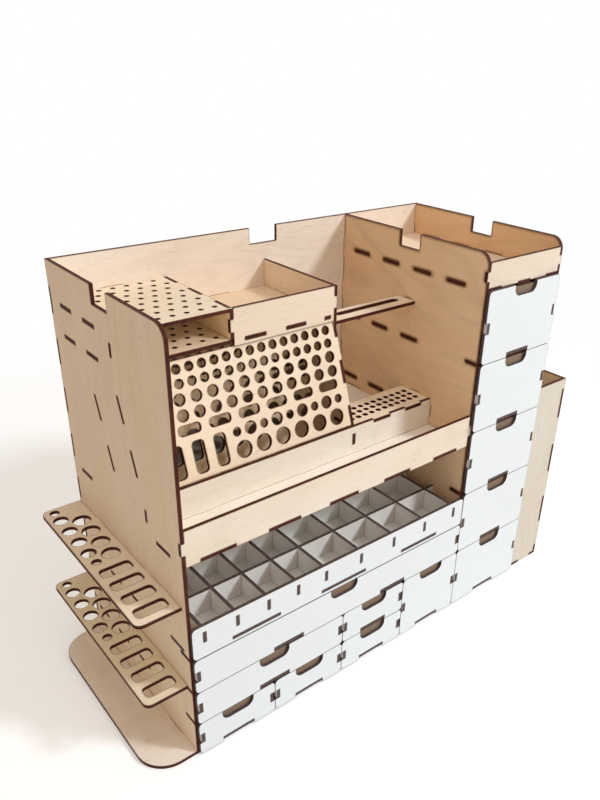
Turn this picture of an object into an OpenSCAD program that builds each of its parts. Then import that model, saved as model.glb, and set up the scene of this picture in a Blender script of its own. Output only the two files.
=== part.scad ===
// Hobby workstation organizer: a case of laser-cut boards with drawers, racks and trays.
// X runs right, Y runs back and Z runs up. Boards lock together with tabs in slots.

/* [Case] */
// Width over the two side panels
case_w = 400; // [380:1:460]
// Depth from the front edges of the panels to the rear face of the back panel
case_d = 186; // [180:1:230]
// Thickness of the plywood boards
ply = 3; // [2.6:0.1:3.6]
// Height of one drawer module, board centre to board centre
module_h = 33.4; // [32:0.2:38]
// Clear width of the right-hand drawer column
column_inner_w = 95.8; // [85:0.2:105]
// Radius of the front top corner of each upright panel
panel_r = 11.5; // [4:0.5:14]
// Clearance round each tab in its slot
fit = 0.1; // [0.05:0.05:0.2]
// Depth of the notches in the top edges of the panels
top_notch_h = 14.6; // [6:0.2:18]
// Width of the notches in the top edges of the upright panels
top_notch_w = 25.3; // [15:0.1:30]
// Place of those notches behind the front edges
top_notch_y = 79.7; // [60:0.1:90]
// Width of the notch in the top edge of the back panel
back_notch_w = 29.8; // [20:0.2:60]

/* [Base plate] */
// Reach of the base plate beyond the left panel
base_left = 40; // [38:1:60]
// Radius of the left corners of the base plate
base_r = 26; // [5:1:36]

/* [Drawers] */
// Thickness of the white fronts
front_t = 3; // [2.6:0.1:4]
// Gap between neighbouring fronts
front_gap = 0.4; // [0.2:0.1:1]
// Running gap between a drawer front and the edges of the case
front_clear = 0.3; // [0.1:0.1:0.6]
// Corner radius of the fronts
front_r = 4; // [1:0.5:6]
// Width of the finger notch
finger_w = 30; // [20:1:36]
// Depth of the finger notch
finger_h = 10; // [8:0.5:13]
// Corner radius of the finger notch
finger_r = 7; // [2:0.5:8]
// Height of the tabs that lock a front to the sides of its drawer
side_tab_h = 9.8; // [6:0.2:12]
// Width of the tab that locks a front to the bottom of its drawer
bottom_tab_w = 30.4; // [15:0.2:36]
// Gap between a drawer and the boards beside it
drawer_side_clear = 0.5; // [0.3:0.1:1]
// Gap between a drawer and the board it runs on
drawer_lift = 0.3; // [0.2:0.1:0.6]
// Gap between the walls of a drawer and the board above
drawer_top_clear = 1.4; // [0.8:0.1:4]
// Gap between a drawer and the back panel
drawer_back_clear = 2; // [1:0.5:6]

/* [Bottle rack] */
// Height of the white front of the bottle rack
bottle_front_h = 29.9; // [26:0.1:40]
// Height of the bottle floor above the lower edge of that front
bottle_floor_up = 2.6; // [2.2:0.1:4]
// Height of the cross boards between the bottles
bottle_wall_h = 20.5; // [16:0.5:30]
// Depth of one row of bottles
bottle_row_d = 34.5; // [30:0.5:45]
// Spacing of the four narrow cells
narrow_pitch = 29.4; // [27:0.2:32]
// Place of the first cross board beside the left panel
first_wall_x = 12.5; // [8:0.5:16]
// Place of the last cross board beside the divider
last_wall_in = 11.7; // [8:0.1:16]
// Height of the cross boards' front tabs
wall_tab_h = 10; // [6:0.5:12]
// Height of those tabs' centres above the lower edge of the front
wall_tab_up = 19; // [16:0.5:20]

/* [Tool tray] */
// Height of the tool floor's underside above the ground
tool_floor_z = 187.6; // [170:0.2:195]
// Height of the front lip
lip_h = 31; // [20:0.5:45]
// Width of the floor tabs under the lip
lip_tab_w = 30; // [15:1:36]
// Number of floor tabs under the lip
lip_tabs = 5; // [3:1:6]
// Place of the riser behind the front edges
riser_y = 49.5; // [45:0.5:55]
// Height of the riser
riser_h = 27.1; // [20:0.1:30]
// Depth of the drill plate behind the riser's front face
drill_d = 39.5; // [32:0.5:45]
// Diameter of the drill holes
drill_hole = 5; // [2:0.1:6]
// Spacing of the drill holes along a row
drill_pitch_x = 8.05; // [7.5:0.05:9]
// Spacing of the rows of drill holes
drill_pitch_y = 7.8; // [7:0.1:9]

/* [Sloped rack] */
// Tilt of the two sloped panels from upright
rack_tilt = 19; // [17:0.1:21]
// Distance between the two panels, centre to centre along their normal
rack_gap = 43.7; // [36:0.1:48]
// Diameter of the holes in the two upper rows
upper_hole = 7.5; // [4:0.1:9]
// Spacing of the holes in the two upper rows
upper_pitch = 11; // [10:0.1:12]
// Diameter of the holes in the two middle rows
middle_hole = 9.5; // [6:0.1:11]
// Spacing of the holes in the two middle rows
middle_pitch = 14.5; // [13:0.1:15]
// Length of the oblong holes
oblong_len = 19.4; // [14:0.1:22]
// Width of the oblong holes
oblong_w = 8; // [5:0.1:9]
// Spacing of the oblong holes
oblong_pitch = 27; // [25:0.1:27]
// Width of the upright slots at the lower left
tall_slot_w = 10.6; // [7:0.1:12]
// Length of the upright slots
tall_slot_len = 26.1; // [18:0.1:27]
// Spacing of the upright slots
tall_slot_pitch = 19; // [15:0.1:19.4]
// Diameter of the large holes in the lowest row
large_hole = 14; // [10:0.1:15]
// Spacing of the large holes
large_pitch = 19.1; // [17:0.1:20]
// Spacing of the small holes above the large ones
small_pitch = 13; // [12:0.1:13.4]
// Diameter of the smaller of those holes
small_hole = 7.2; // [4:0.1:8]
// Diameter of the larger of those holes
small_hole_wide = 10.6; // [8:0.1:12]

/* [Upper tray] */
// Height of the tray board's underside above the ground
tray_z = 309.5; // [305:0.2:312]
// Height from the tray board's underside to the stick plate's top
tray_h = 28; // [20:0.2:32]
// Place of the front edges of the upper tray
tray_y = 80; // [76:0.2:84]
// Width of the stick plate over the tray's side wall
stick_w = 100; // [90:0.5:120]
// Diameter of the stick holes
stick_hole = 4; // [2:0.1:5]
// Spacing of the stick holes along a row
stick_pitch_x = 12; // [11:0.1:12.4]
// Spacing of the rows of stick holes
stick_pitch_y = 12.4; // [11:0.1:12.4]
// Depth by which the tray's front wall hangs below the tray board
tray_drop = 3; // [1:0.5:6]
// Height of the upright tabs at the ends of the tray's front wall
wall_lock_h = 10.5; // [8:0.5:12]

/* [Pliers bay] */
// Width of the bay between the sloped rack and the divider
bay_w = 94.9; // [85:0.1:105]
// Height of the top of the pliers rail
rail_z = 306; // [290:0.5:308]
// Depth of the pliers rail
rail_d = 23; // [18:0.5:30]
// Width of the slot along the pliers rail
rail_slot = 7; // [4:0.5:10]

/* [Top tray] */
// Height of the top tray's front board
top_front_h = 23.5; // [18:0.5:26]
// Height of that board's end tabs
top_tab_h = 8.5; // [6:0.5:12]

/* [Side shelves] */
// Reach of the side shelves from the left panel
shelf_w = 36; // [34:0.5:38]
// Height of the upper side shelf's top
upper_shelf_z = 149.7; // [140:0.1:165]
// Height of the lower side shelf's top
lower_shelf_z = 71.6; // [70.6:0.1:72]
// Gap between the front edges and the side shelves
shelf_front = 3; // [1:0.5:6]
// Outer corner radius of the side shelves
shelf_r = 10; // [3:0.5:14]
// Length of the tool slots across a side shelf
tool_slot_len = 26.5; // [20:0.5:27]
// Width of the tool slots
tool_slot_w = 7; // [4:0.1:9]
// Spacing of the tool slots and of the holes behind them
tool_pitch = 19; // [17:0.2:19.4]
// Diameter of the outer holes
outer_hole = 12; // [8:0.1:12.4]
// Diameter of the inner holes
inner_hole = 15; // [10:0.1:15.4]
// Diameter of the end holes
end_hole = 8; // [5:0.1:9]

/* [Side holder] */
// Width of the pocket outside the right panel
holder_w = 45; // [35:0.5:60]
// Depth of the pocket
holder_d = 60; // [40:1:100]
// Height of the pocket above the ground
holder_h = 218.5; // [180:0.5:240]
// Height of the pocket's corner tabs
holder_tab_h = 32.5; // [20:0.5:33]

/* [Hidden] */
$fn = 64;

birch = [0.87, 0.76, 0.6];
birch_dark = [0.78, 0.65, 0.48];
white_board = [0.95, 0.95, 0.94];
drawer_brown = [0.55, 0.42, 0.31];

// Overrun of cuts past a face
cut_over = 1;

// Case: board centres stand on a grid of modules, and uprights stand on the base plate
module_count = 11;
case_h = module_count * module_h;
half_ply = ply / 2;
inner_d = case_d - ply;
divider_x = case_w - 2 * ply - column_inner_w;
column_x = divider_x + ply;
right_x = case_w - ply;
bank_parts = 4;
top_seam = module_count - 1;

// Tabs along the depth share one length, a ninth of the case's inner depth
tab_len = inner_d / 9;
depth_starts = [for (k = [1:2:7]) ply + k * tab_len];
front_tab = 2 / 3 * tab_len;
shelf_starts = [for (k = [3:2:7]) front_tab + k * tab_len];
tray_starts = [for (k = [5, 7]) ply + k * tab_len];

// Finger joints between the upright panels and the back panel
finger_count = 17;
rear_finger_h = (case_h - ply) / finger_count;

// Bottle rack
bottle_z = module_h * 3 + half_ply + front_gap / 2;
bottle_floor_z = bottle_z + bottle_floor_up;
bottle_wall_z = bottle_floor_z + ply;
bottle_d = 2 * (bottle_row_d + ply);
narrow_cells = 4;
wide_cells = 4;
floor_tab_shares = [[0.123, 0.277], [0.421, 0.587], [0.733, 0.887]];
wide_pitch = (divider_x - first_wall_x - narrow_cells * narrow_pitch - last_wall_in) / wide_cells;
bottle_side_tab_y = 8;

// Tool tray
tool_top = tool_floor_z + ply;
lip_end_tab_up = 10.8;
lip_end_tab_h = 10.4;
first_lip_tab_x = 15;
tool_tab_front = 17.4;
tool_tab_rear = 149.7;
riser_top = tool_top + riser_h;
riser_tab_up = 9.4;
drill_z = riser_top - ply;
drill_rows = 3;
drill_first_x = 6.1;
drill_first_y = 12.3;
drill_tab_shares = [0.23, 0.65];
drill_side_in = 15.5;
drill_side_y = riser_y + drill_side_in;

// Sloped rack: the reference line of the front panel's centre lies at this place
slope_y = 72.3;
slope_z = 273.1;
rack_w = divider_x - bay_w;
bay_x = rack_w - ply;
rear_shift_z = rack_gap * sin(rack_tilt);
rack_front_low = (slope_z - riser_top) / cos(rack_tilt) - half_ply * tan(rack_tilt);
rack_front_high = (tray_z - tray_drop - slope_z) / cos(rack_tilt) - half_ply * tan(rack_tilt);
rack_rear_low = (slope_z - rear_shift_z - tool_top) / cos(rack_tilt) - half_ply * tan(rack_tilt);
rack_rear_high = (tray_z - slope_z + rear_shift_z) / cos(rack_tilt) - half_ply * tan(rack_tilt);
rack_tab_starts = [0, -2 * tab_len];
upper_rows = [28.2, 17.1];
middle_rows = [5.4, -6.9];
oblong_row = -18.2;
small_row = -31.4;
large_row = -46.6;
tall_slot_low = -53.9;
upper_first_x = 15.2;
middle_last_in = 12.7;
middle_last_x = rack_w - middle_last_in;
oblong_last_in = 10.2;
oblong_last_x = rack_w - oblong_last_in;
small_first_x = 87.4;
large_first_x = 90.9;
tall_slot_first_x = 14.2;
tall_slots = 4;
rear_round_hole = 10;
hole_rim = 2;
oblong_corner_share = 0.42;
tall_corner_share = 0.34;

// Upper tray
tray_floor_top = tray_z + ply;
stick_z = tray_z + tray_h - ply;
stick_x = stick_w - ply;
wall_lock_up = 8.5;
wall_lock_z = tray_z + wall_lock_up;
left_lock_up = 11.3;
left_lock_z = tray_z + left_lock_up;
stick_first_x = 6.5;
stick_first_in = 11;
stick_first_y = tray_y + stick_first_in;
stick_rows = 8;
stick_cols = 8;
wall_tab_in = 2.4;
wall_tab_first = tray_y + wall_tab_in;
wall_tab_shares = [[0.1, 0.3], [0.5, 0.7], [0.9, 0.965]];

// Pliers bay
rail_tab_in = 4;
rail_slot_in = 10;

// Side shelves
first_tool_slot_y = 17;
tool_slot_x = 5;
shelf_slots_n = 4;
outer_hole_in = 26.5;
inner_hole_in = 12.4;
first_outer_y = 108;
first_inner_y = 98;
front_end_y = 92.5;
rear_end_y = 178;
shelf_tab_ys = [24, 50, 98, 139];
shelf_tab_len = 14;

// Side holder
holder_tab_z = 44.5;
holder_lock_h = 20;
holder_lock_z = [20, 90, 160];
holder_foot_in = 14.8;
holder_foot_x = case_w + holder_foot_in;

// Whole model, centred on the middle of its base
base_right = case_w + holder_w;
front_y = -front_clear - front_t;
centre_x = (base_right - base_left) / 2;
centre_y = (case_d + front_y) / 2;

// Height of the centre of a board on the module grid
function seam(n) = half_ply + n * module_h;
// Place of the seams between the drawers left of the divider
function bank_x(i) = half_ply + i * divider_x / bank_parts;
// Starts of evenly spread rear tabs between two places
function spread(x0, x1, n) = [for (i = [0:n - 1]) x0 + (x1 - x0) * (i + 1 / 2) / n - tab_len / 2];
// Lower end of a rear finger
function finger_z(k) = ply + k * rear_finger_h;
// Place of the front panel's outer face at a height
function slope_front(z) = slope_y + (z - slope_z) * tan(rack_tilt) - half_ply / cos(rack_tilt);
// Height at which that face reaches a place
function slope_height(y) = slope_z + (y - slope_y + half_ply / cos(rack_tilt)) / tan(rack_tilt);
// Number of equal holes that fit between two places
function hole_count(first, last, pitch) = floor((last - first) / pitch) + 1;
// Centres of the cross boards in the bottle rack
wall_xs = concat([for (i = [0:narrow_cells]) first_wall_x + i * narrow_pitch],
    [for (i = [1:wide_cells]) first_wall_x + narrow_cells * narrow_pitch + i * wide_pitch]);

// Drawers: left, right, lower and upper seam round the front
column_0 = divider_x + half_ply;
column_1 = case_w - half_ply;
column_drawers = [for (n = [8:-2:0]) [column_0, column_1, seam(n), seam(n + 2)]];
wide_drawer = [bank_x(0), bank_x(4), seam(2), seam(3)];
medium_drawer = [bank_x(0), bank_x(2), seam(1), seam(2)];
small_drawer_left = [bank_x(0), bank_x(1), seam(0), seam(1)];
small_drawer_right = [bank_x(1), bank_x(2), seam(0), seam(1)];
centre_drawer_upper = [bank_x(2), bank_x(3), seam(1), seam(2)];
centre_drawer_lower = [bank_x(2), bank_x(3), seam(0), seam(1)];
tall_drawer = [bank_x(3), bank_x(4), seam(0), seam(2)];
single_tab_shares = [0.5];
pair_tab_shares = [0.3, 0.7];

// Board helpers: a profile becomes a lying board, an upright board along Y or one along X
module placed() {
    translate([-centre_x, -centre_y, 0]) children();
}

module flat_board(z) {
    placed() translate([0, 0, z]) linear_extrude(ply) children();
}

module side_board(x) {
    placed() translate([x, 0, 0]) rotate([90, 0, 90]) linear_extrude(ply) children();
}

module cross_board(y, t = ply) {
    placed() translate([0, y + t, 0]) rotate([90, 0, 0]) linear_extrude(t) children();
}

// Sloped board, its centre a given distance behind the reference plane
module sloped_board(n) {
    placed() translate([0, slope_y, slope_z]) rotate([-rack_tilt, 0, 0])
        translate([0, n + half_ply, 0]) rotate([90, 0, 0]) linear_extrude(ply) children();
}

// Profile helpers
module area(x0, x1, y0, y1) {
    translate([x0, y0]) square([x1 - x0, y1 - y0]);
}

module slot(x0, x1, y0, y1) {
    area(x0 - fit, x1 + fit, y0 - fit, y1 + fit);
}

module rounded(x0, x1, y0, y1, r) {
    area(x0 + r, x1 - r, y0, y1);
    area(x0, x1, y0 + r, y1 - r);
    for (x = [x0 + r, x1 - r], y = [y0 + r, y1 - r]) translate([x, y]) circle(r);
}

module oblong(x0, x1, y, w) {
    area(x0 + w / 2, x1 - w / 2, y - w / 2, y + w / 2);
    for (x = [x0 + w / 2, x1 - w / 2]) translate([x, y]) circle(d = w);
}

module hole(x, y, d) {
    translate([x, y]) circle(d = d);
}

// Sloped frame inside the profile of an upright board
module on_slope() {
    translate([slope_y, slope_z]) rotate(-rack_tilt) children();
}

// Shelf with tabs at both sides and at the back
module shelf(x0, x1, left, right, rear_n, front_from = 0) {
    area(x0, x1, 0, inner_d);
    area(x0 - left, x1 + right, front_from, front_tab);
    for (y = shelf_starts) area(x0 - left, x1 + right, y, y + tab_len);
    for (x = spread(x0, x1, rear_n)) area(x, x + tab_len, inner_d, case_d);
}

// Slots for the side tabs of a shelf on the module grid
module shelf_slots(n, front_from = 0) {
    z0 = seam(n) - half_ply;
    slot(front_from - cut_over, front_tab, z0, z0 + ply);
    for (y = shelf_starts) slot(y, y + tab_len, z0, z0 + ply);
}

// Slots in a lying board or in the back panel for a row of tabs
module tab_slots(starts, y0) {
    for (x = starts) slot(x, x + tab_len, y0, y0 + ply);
}

// Outline shared by the three upright panels, with feet that pass through the base plate
module upright(rear) {
    difference() {
        union() {
            area(0, rear, ply, case_h - panel_r);
            area(panel_r, rear, ply, case_h);
            hole(panel_r, case_h - panel_r, 2 * panel_r);
        }
        area(top_notch_y, top_notch_y + top_notch_w, case_h - top_notch_h, case_h + cut_over);
    }
    for (y = depth_starts) area(y, y + tab_len, 0, ply);
}

module rear_finger_cuts() {
    for (k = [1:2:finger_count - 1])
        area(inner_d, case_d + cut_over, finger_z(k) - fit, finger_z(k + 1) + fit);
}

// Slots for both sloped panels
module rack_slots() {
    on_slope() for (n = [0, rack_gap], s = rack_tab_starts)
        slot(n - half_ply, n + half_ply, s, s + tab_len);
}

// Slots that the boards of the tool tray need on both sides
module tool_tray_slots() {
    slot(tool_tab_front, tool_tab_front + tab_len, tool_floor_z, tool_top);
    slot(tool_tab_rear, tool_tab_rear + tab_len, tool_floor_z, tool_top);
    slot(bottle_side_tab_y, bottle_side_tab_y + tab_len, bottle_floor_z, bottle_wall_z);
    slot(-cut_over, ply, tool_floor_z + lip_end_tab_up, tool_floor_z + lip_end_tab_up + lip_end_tab_h);
    slot(riser_y, riser_y + ply, tool_top + riser_tab_up, tool_top + riser_tab_up + wall_lock_h);
}

module side_shelf_slots(top) {
    for (y = shelf_tab_ys) slot(y, y + shelf_tab_len, top - ply, top);
}

module base_plate() color(birch) flat_board(0) difference() {
    union() {
        rounded(-base_left, base_right, 0, case_d, base_r);
        area(case_w / 2, base_right, 0, case_d);
    }
    for (x = [0, divider_x, right_x], y = depth_starts) slot(x, x + ply, y, y + tab_len);
    for (i = [1:bank_parts - 1], y = [depth_starts[0], depth_starts[3]])
        slot(bank_x(i) - half_ply, bank_x(i) + half_ply, y, y + tab_len);
    tab_slots(spread(ply, right_x, 4), inner_d);
    for (y = [0, holder_d - ply])
        slot(holder_foot_x, holder_foot_x + tab_len, y - (y == 0 ? cut_over : 0), y + ply);
    slot(base_right - ply, base_right + cut_over, tab_len, 2 * tab_len);
}

module left_panel() color(birch) side_board(0) difference() {
    upright(case_d);
    rear_finger_cuts();
    for (n = [1:3]) shelf_slots(n);
    tool_tray_slots();
    rack_slots();
    for (z = [tray_z, stick_z], y = tray_starts) slot(y, y + tab_len, z, z + ply);
    slot(tray_y, tray_y + ply, left_lock_z, left_lock_z + wall_lock_h);
    side_shelf_slots(upper_shelf_z);
    side_shelf_slots(lower_shelf_z);
}

module divider_panel() color(birch_dark) side_board(divider_x) difference() {
    union() {
        upright(inner_d);
        for (k = [1:2:finger_count - 1]) area(inner_d, case_d, finger_z(k), finger_z(k + 1));
    }
    for (n = [2, 3, 4, 8]) shelf_slots(n);
    shelf_slots(6, ply + cut_over);
    tool_tray_slots();
    slot(drill_side_y, drill_side_y + tab_len / 2, drill_z, riser_top);
    slot(tray_y + rail_tab_in, tray_y + rail_tab_in + tab_len / 2, rail_z - ply, rail_z);
    for (y = depth_starts) slot(y, y + tab_len, seam(top_seam) - half_ply, seam(top_seam) + half_ply);
    top_front_slot();
}

module right_panel() color(birch_dark) side_board(right_x) difference() {
    upright(case_d);
    rear_finger_cuts();
    for (n = [2:2:8]) shelf_slots(n);
    for (y = depth_starts) slot(y, y + tab_len, seam(top_seam) - half_ply, seam(top_seam) + half_ply);
    top_front_slot();
    for (z = holder_lock_z) {
        area(-cut_over, ply + fit, z - fit, z + holder_lock_h + fit);
        slot(holder_d - ply, holder_d, z, z + holder_lock_h);
    }
}

// Notch in the front edge for the top tray's front board
module top_front_slot() {
    z0 = seam(top_seam) + top_front_h / 2 - top_tab_h / 2;
    area(-cut_over, ply + fit, z0 - fit, z0 + top_tab_h + fit);
}

module back_panel() color(birch) cross_board(inner_d) {
    difference() {
        area(0, case_w, ply, case_h);
        area((case_w - back_notch_w) / 2, (case_w + back_notch_w) / 2,
            case_h - top_notch_h, case_h + cut_over);
        for (k = [0:2:finger_count - 1], x = [-cut_over, right_x])
            area(x, x + ply + cut_over, finger_z(k), finger_z(k + 1));
        for (k = [1:2:finger_count - 1])
            slot(divider_x, column_x, finger_z(k), finger_z(k + 1));
        for (n = [2, 3]) tab_slots(spread(ply, divider_x, 3), seam(n) - half_ply);
        tab_slots(spread(ply, bank_x(2) - half_ply, 1), seam(1) - half_ply);
        tab_slots(spread(bank_x(2) + half_ply, bank_x(3) - half_ply, 1), seam(1) - half_ply);
        for (n = [2:2:top_seam]) tab_slots(spread(column_x, right_x, 1), seam(n) - half_ply);
        tab_slots(spread(ply, divider_x, 3), tool_floor_z);
        tab_slots(spread(ply, bay_x, 2), tray_z);
        tab_slots(spread(ply, stick_x, 1), stick_z);
        slot(bay_x, rack_w, tool_top + tab_len, tool_top + 2 * tab_len);
        slot(bay_x, rack_w, tool_top + 4 * tab_len, tool_top + 5 * tab_len);
    }
    for (x = spread(ply, right_x, 4)) area(x, x + tab_len, 0, ply);
}

module column_shelves() color(birch) {
    for (n = [2:2:8]) flat_board(seam(n) - half_ply)
        shelf(column_x, right_x, n == 2 ? half_ply - fit : ply, ply, 1,
            n == 6 ? ply + 2 * fit : 0);
}

module top_tray_floor() color(birch) flat_board(seam(top_seam) - half_ply) {
    area(column_x, right_x, ply, inner_d);
    for (y = depth_starts) area(column_x - ply, case_w, y, y + tab_len);
    for (x = top_tab_xs) area(x[0], x[1], 0, ply);
    for (x = spread(column_x, right_x, 1)) area(x, x + tab_len, inner_d, case_d);
}

// Floor tabs under the top tray's front board: both ends and the middle
top_tab_w = 17;
top_tab_xs = [
    [column_x, column_x + top_tab_w],
    [(column_x + right_x - top_tab_w) / 2, (column_x + right_x + top_tab_w) / 2],
    [right_x - top_tab_w, right_x]];

module top_tray_front() color(birch) cross_board(0) difference() {
    z0 = seam(top_seam) + front_gap / 2;
    zt = seam(top_seam) + top_front_h / 2 - top_tab_h / 2;
    union() {
        area(column_x, right_x, z0, z0 + top_front_h);
        area(column_x - ply, case_w, zt, zt + top_tab_h);
    }
    for (x = top_tab_xs) slot(x[0], x[1], z0 - cut_over, seam(top_seam) + half_ply);
}

module rack_shelf() color(birch) flat_board(seam(3) - half_ply)
    shelf(ply, divider_x, ply, ply, 3);

module mid_shelf() color(birch) flat_board(seam(2) - half_ply) difference() {
    shelf(ply, divider_x, ply, half_ply - fit, 3);
    for (i = [2, 3]) slot(bank_x(i) - half_ply, bank_x(i) + half_ply,
        depth_starts[1], depth_starts[1] + tab_len);
}

module low_shelf_left() color(birch) flat_board(seam(1) - half_ply) difference() {
    shelf(ply, bank_x(2) - half_ply, ply, half_ply - fit, 1);
    slot(bank_x(1) - half_ply, bank_x(1) + half_ply, depth_starts[1], depth_starts[1] + tab_len);
}

module low_shelf_centre() color(birch) flat_board(seam(1) - half_ply)
    shelf(bank_x(2) + half_ply, bank_x(3) - half_ply, half_ply - fit, ply, 1);

// Upright board between drawers, tabbed into the boards below and above
module partition(top) {
    area(0, inner_d, ply, top - ply);
    for (y = [depth_starts[0], depth_starts[3]]) area(y, y + tab_len, 0, ply);
    area(depth_starts[1], depth_starts[1] + tab_len, top - ply, top);
}

module small_partition() color(birch) side_board(bank_x(1) - half_ply)
    partition(seam(1) + half_ply);

module tall_partitions() color(birch) for (i = [2, 3]) side_board(bank_x(i) - half_ply)
    difference() {
        partition(seam(2) + half_ply);
        shelf_slots(1);
    }

module bottle_front() color(white_board) cross_board(-front_t, front_t) difference() {
    rounded(bank_x(0) + front_gap / 2, bank_x(4) - front_gap / 2,
        bottle_z, bottle_z + bottle_front_h, front_r);
    for (x = wall_xs) slot(x - half_ply, x + half_ply,
        bottle_z + wall_tab_up - wall_tab_h / 2, bottle_z + wall_tab_up + wall_tab_h / 2);
    for (s = floor_tab_shares)
        slot(s[0] * divider_x, s[1] * divider_x, bottle_floor_z, bottle_wall_z);
}

module bottle_floor() color(white_board) flat_board(bottle_floor_z) {
    area(ply, divider_x, 0, bottle_d);
    for (s = floor_tab_shares) area(s[0] * divider_x, s[1] * divider_x, -front_t, 0);
    area(0, column_x, bottle_side_tab_y, bottle_side_tab_y + tab_len);
}

// Lengthwise boards of the bottle rack, slotted from below over the cross boards
module bottle_rails() color(white_board) for (i = [1, 2])
    cross_board(i * (bottle_row_d + ply) - ply) difference() {
        area(ply, divider_x, bottle_wall_z, bottle_wall_z + bottle_wall_h);
        for (x = wall_xs) slot(x - half_ply, x + half_ply,
            bottle_wall_z - cut_over, bottle_wall_z + bottle_wall_h / 2);
    }

// Cross boards of the bottle rack, slotted from above, with a tab through the front
module bottle_walls() color(white_board) for (x = wall_xs) side_board(x - half_ply) {
    difference() {
        area(0, bottle_d, bottle_wall_z, bottle_wall_z + bottle_wall_h);
        for (i = [1, 2]) slot(i * (bottle_row_d + ply) - ply, i * (bottle_row_d + ply) + (i - 1) * cut_over,
            bottle_wall_z + bottle_wall_h / 2, bottle_wall_z + bottle_wall_h + cut_over);
    }
    area(-front_t, 0, bottle_z + wall_tab_up - wall_tab_h / 2, bottle_z + wall_tab_up + wall_tab_h / 2);
}

function lip_tab_x(i) = first_lip_tab_x + i * (divider_x - first_lip_tab_x * 2 + lip_tab_w) / lip_tabs;

module tool_floor() color(birch) flat_board(tool_floor_z) difference() {
    union() {
        area(ply, divider_x, ply, inner_d);
        for (y = [tool_tab_front, tool_tab_rear]) area(0, column_x, y, y + tab_len);
        for (i = [0:lip_tabs - 1]) area(lip_tab_x(i), lip_tab_x(i) + lip_tab_w, 0, ply);
        for (x = spread(ply, divider_x, 3)) area(x, x + tab_len, inner_d, case_d);
    }
    tab_slots(spread(ply, bay_x, 2), riser_y);
    slot(bay_x, rack_w, depth_starts[2], depth_starts[2] + tab_len);
}

module tray_lip() color(birch) cross_board(0) difference() {
    union() {
        area(ply, divider_x, tool_floor_z, tool_floor_z + lip_h);
        area(0, column_x, tool_floor_z + lip_end_tab_up, tool_floor_z + lip_end_tab_up + lip_end_tab_h);
    }
    for (i = [0:lip_tabs - 1])
        slot(lip_tab_x(i), lip_tab_x(i) + lip_tab_w, tool_floor_z - cut_over, tool_top);
}

module riser() color(birch) cross_board(riser_y) difference() {
    union() {
        area(ply, divider_x, tool_top, riser_top);
        area(0, column_x, tool_top + riser_tab_up, tool_top + riser_tab_up + wall_lock_h);
        for (x = spread(ply, bay_x, 2)) area(x, x + tab_len, tool_floor_z, tool_top);
    }
    slot(bay_x, rack_w, tool_top + riser_tab_up, tool_top + riser_tab_up + wall_lock_h);
    for (s = drill_tab_shares)
        slot(drill_tab_x(s), drill_tab_x(s) + tab_len, drill_z, riser_top + cut_over);
}

function drill_tab_x(s) = rack_w + s * bay_w;

drill_cols = hole_count(drill_first_x, bay_w - drill_hole / 2 - hole_rim, drill_pitch_x);

module drill_plate() color(birch) flat_board(drill_z) difference() {
    union() {
        area(rack_w, divider_x, riser_y + ply, riser_y + drill_d);
        for (s = drill_tab_shares)
            area(drill_tab_x(s), drill_tab_x(s) + tab_len, riser_y, riser_y + ply);
        area(bay_x, column_x, drill_side_y, drill_side_y + tab_len / 2);
    }
    for (n = [0:drill_cols - 1], r = [0:drill_rows - 1])
        hole(rack_w + drill_first_x + n * drill_pitch_x, riser_y + drill_first_y + r * drill_pitch_y,
            drill_hole);
}

// Numbers of holes in the rows of the sloped rack
upper_cols = hole_count(upper_first_x, bay_x - upper_hole / 2 - hole_rim, upper_pitch);
middle_cols = hole_count(ply + middle_hole / 2 + hole_rim, middle_last_x, middle_pitch);
oblong_cols = hole_count(ply + oblong_len + hole_rim, oblong_last_x, oblong_pitch);
small_cols = hole_count(small_first_x, bay_x - small_hole_wide / 2 - hole_rim, small_pitch);
large_cols = hole_count(large_first_x, bay_x - large_hole / 2 - hole_rim, large_pitch);

// Holes of the sloped rack. The rear panel has round holes where the front one has oblongs
module rack_holes(rear) {
    for (y = upper_rows, n = [0:upper_cols - 1]) hole(upper_first_x + n * upper_pitch, y, upper_hole);
    for (y = middle_rows, n = [0:middle_cols - 1]) hole(middle_last_x - n * middle_pitch, y, middle_hole);
    for (n = [0:oblong_cols - 1]) {
        x1 = oblong_last_x - n * oblong_pitch;
        if (rear) hole(x1 - oblong_len / 2, oblong_row, rear_round_hole);
        else rounded(x1 - oblong_len, x1, oblong_row - oblong_w / 2, oblong_row + oblong_w / 2,
            oblong_corner_share * oblong_w);
    }
    for (n = [0:small_cols - 1]) hole(small_first_x + n * small_pitch, small_row,
        n % 2 == 0 ? small_hole : small_hole_wide);
    for (n = [0:large_cols - 1]) hole(large_first_x + n * large_pitch, large_row, large_hole);
    for (n = [0:tall_slots - 1]) {
        x = tall_slot_first_x + n * tall_slot_pitch;
        rounded(x - tall_slot_w / 2, x + tall_slot_w / 2, tall_slot_low, tall_slot_low + tall_slot_len,
            tall_corner_share * tall_slot_w);
    }
}

module rack_panel(low, high, rear) difference() {
    union() {
        area(ply, bay_x, -low, high);
        for (s = rack_tab_starts) area(0, rack_w, s, s + tab_len);
    }
    rack_holes(rear);
}

module rack_front_panel() color(birch) sloped_board(0)
    rack_panel(rack_front_low, rack_front_high, false);

module rack_rear_panel() color(birch) sloped_board(rack_gap)
    rack_panel(rack_rear_low, rack_rear_high, true);

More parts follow.
